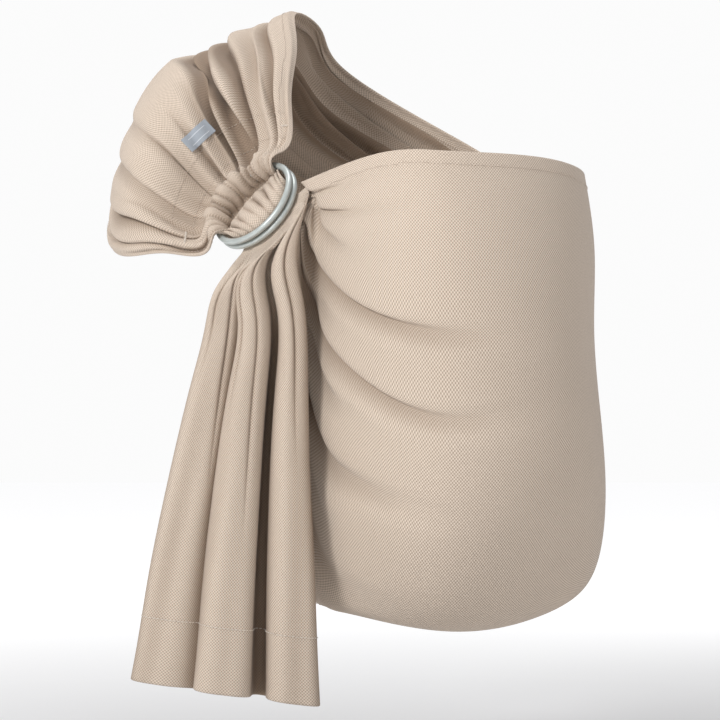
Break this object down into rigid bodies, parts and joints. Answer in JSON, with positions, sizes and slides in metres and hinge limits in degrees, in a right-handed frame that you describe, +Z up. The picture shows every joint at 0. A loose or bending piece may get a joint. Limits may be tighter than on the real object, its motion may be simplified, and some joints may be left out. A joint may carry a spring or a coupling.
{
  "type": "soft baby carrier",
  "caption": "Ring sling as worn: one woven cloth over shoulder and back into a front pouch, through a pair of rings to a hanging tail.",
  "frame": {"origin": "underside of the cloth on top of the wearer's right shoulder", "axes": "+Z up, +X to the wearer's left, -Y to the front"},
  "size_m": [0.4441, 0.3787, 0.632],
  "materials": {
    "cloth": "matte",
    "thread": "matte",
    "label": "satin",
    "ring": "satin"
  },
  "bodies": {
    "sling_loop": {"front_shoulder": "cloth", "back_shoulder": "cloth", "back_panel": "cloth", "side_panel": "cloth", "pouch_outer": "cloth", "pouch_middle": "cloth", "pouch_ring_side": "cloth", "ring_gather": "cloth", "ring_casing": "cloth", "casing_stitching_1": "thread", "casing_stitching_2": "thread", "brand_label": "label", "bartack_neck": "thread", "bartack_arm": "thread"},
    "lower_ring": {"lower_ring": "ring"},
    "upper_ring": {"upper_ring": "ring", "ring_fold": "cloth"},
    "tail": {"tail": "cloth"}
  },
  "joints": [
    {"name": "rings_tip", "type": "hinge", "parent": "sling_loop", "child": "lower_ring", "pos_m": [0.0253, -0.09122, -0.12655], "axis": [-0.6561, 0, -0.7547], "range_deg": [0, 11]},
    {"name": "upper_ring_lift", "type": "hinge", "parent": "lower_ring", "child": "upper_ring", "pos_m": [0.02311, -0.09317, -0.12465], "axis": [-0.6561, 0, -0.7547], "range_deg": [0, 14]},
    {"name": "tail_swing", "type": "hinge", "parent": "sling_loop", "child": "tail", "pos_m": [0.05965, -0.15932, -0.16966], "axis": [-0.6561, 0, -0.7547], "range_deg": [0, 35]}
  ]
}
